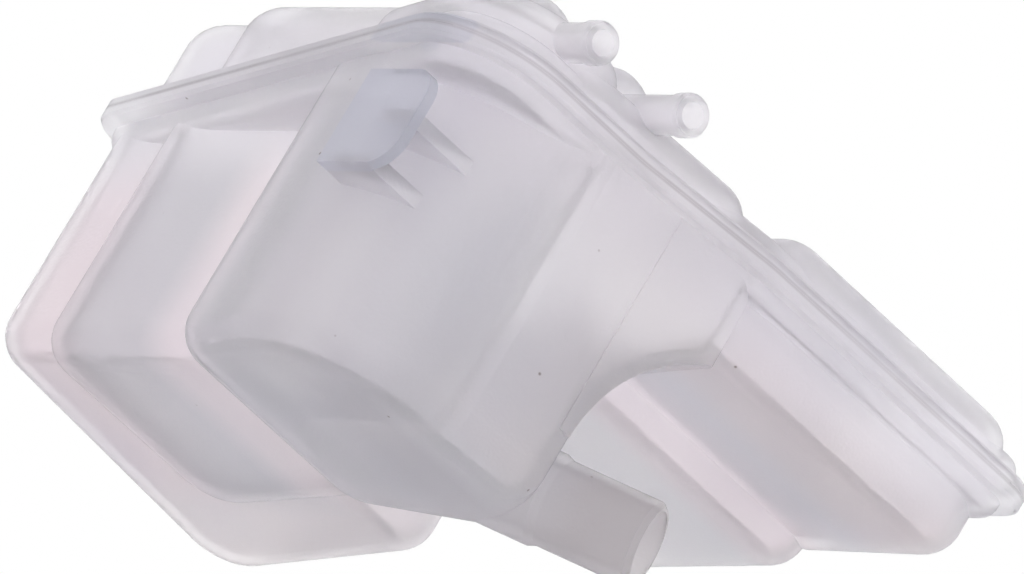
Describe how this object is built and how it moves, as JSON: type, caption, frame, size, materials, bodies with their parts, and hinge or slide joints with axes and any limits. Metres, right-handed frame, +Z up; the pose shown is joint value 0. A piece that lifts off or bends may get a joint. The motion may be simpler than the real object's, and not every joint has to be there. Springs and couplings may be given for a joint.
{
  "type": "coolant expansion tank",
  "caption": "Translucent coolant expansion tank of welded half shells, with a stepped body, hose nipples, a low outlet spigot, a filler neck and a slotted mounting bracket.",
  "frame": {"origin": "middle of the mounting bracket's slot, behind its strap on the lower half's nose", "axes": "+X along the hose nipples, away from the tank; +Z up, along the filler neck; the weld plane is level"},
  "size_m": [0.2002, 0.1827, 0.125],
  "materials": {
    "tank_plastic": "natural milky translucent polypropylene, satin"
  },
  "bodies": {
    "root": {"lower_shell": "tank_plastic", "upper_shell": "tank_plastic"}
  },
  "joints": []
}
